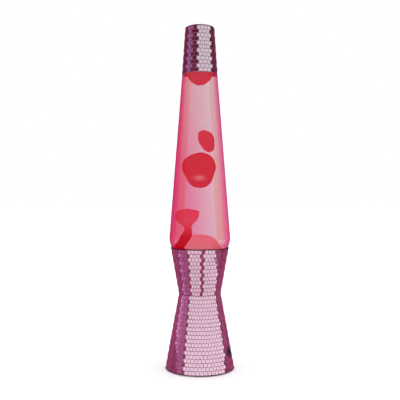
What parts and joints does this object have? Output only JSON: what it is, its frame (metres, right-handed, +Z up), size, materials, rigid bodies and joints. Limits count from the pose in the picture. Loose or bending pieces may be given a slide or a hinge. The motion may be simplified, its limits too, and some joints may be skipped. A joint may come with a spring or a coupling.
{
  "type": "lava lamp",
  "caption": "Lava lamp with an hourglass mosaic base, a tapered lift-out glass globe of coloured wax in tinted liquid, a matching loose cap and a small screw-in bulb in the base.",
  "frame": {"origin": "centre of the lamp's footprint on the table", "axes": "+Z up along the lamp's axis, -Y towards the viewer, +X to the viewer's right"},
  "size_m": [0.0746, 0.0746, 0.3682],
  "materials": {
    "painted_shell": "gloss magenta lacquer on spun aluminium",
    "mosaic": "metallic magenta facets under clear gloss",
    "plated_steel": "zinc plated",
    "porcelain": "glazed",
    "brass": "bright",
    "black_plastic": "fine texture",
    "black_rubber": "matt",
    "solder": "dull solder",
    "black_glass": "fused black glass",
    "clear_glass": "clear",
    "nickel_wire": "drawn wire",
    "tungsten": "coiled wire",
    "crown_metal": "gold lacquered tinplate",
    "white_plastic": "moulded liner",
    "pink_liquid": "clear pink tinted water",
    "red_wax": "translucent red wax"
  },
  "bodies": {
    "base": {"lower_cone_shell": "painted_shell", "lower_mosaic_wrap": "mosaic", "upper_cone_shell": "painted_shell", "upper_mosaic_wrap": "mosaic", "waist_eyelet": "plated_steel", "socket_bracket": "plated_steel", "socket_body": "porcelain", "socket_screw_shell": "brass", "socket_centre_contact": "brass", "socket_terminals": "brass", "socket_nipple": "plated_steel", "locknuts": "plated_steel", "lock_washers": "plated_steel", "bottom_cover": "black_plastic", "rubber_feet": "black_rubber", "cord_grommet": "black_rubber"},
    "bulb_foot": {"bulb_contact_tip": "solder"},
    "bulb": {"bulb_insulator": "black_glass", "bulb_screw_cap": "brass", "bulb_envelope": "clear_glass", "bulb_stem": "clear_glass", "bulb_lead_wires": "nickel_wire", "bulb_filament": "tungsten"},
    "globe": {"globe_glass": "clear_glass", "crown_cap": "crown_metal", "crown_liner": "white_plastic", "liquid": "pink_liquid", "wax_mound": "red_wax", "wax_top_pool": "red_wax", "heating_coil": "nickel_wire"},
    "large_blob": {"wax_large_blob": "red_wax"},
    "small_blob": {"wax_small_blob": "red_wax"},
    "cap": {"cap_shell": "painted_shell", "cap_mosaic_wrap": "mosaic"}
  },
  "joints": [
    {"name": "globe_lift", "type": "slide", "parent": "base", "child": "globe", "axis": [0, 0, 1], "range_m": [0, 0.06]},
    {"name": "cap_lift", "type": "slide", "parent": "globe", "child": "cap", "axis": [0, 0, 1], "range_m": [0, 0.06]},
    {"name": "bulb_travel", "type": "slide", "parent": "base", "child": "bulb_foot", "axis": [0, 0, 1], "range_m": [0, 0.0099]},
    {"name": "bulb_turn", "type": "hinge", "parent": "bulb_foot", "child": "bulb", "pos_m": [0, 0, 0.05], "axis": [0, 0, 1], "range_deg": [0, 1260]},
    {"name": "large_blob_drift", "type": "slide", "parent": "globe", "child": "large_blob", "axis": [0, 0, 1], "range_m": [-0.018, 0], "deforming": ["liquid"]},
    {"name": "small_blob_drift", "type": "slide", "parent": "globe", "child": "small_blob", "axis": [0, 0, 1], "range_m": [0, 0.045], "deforming": ["liquid"]}
  ],
  "couplings": [
    {"joint": "bulb_travel", "follows": "bulb_turn", "m_per_rad": 0.00044882}
  ]
}
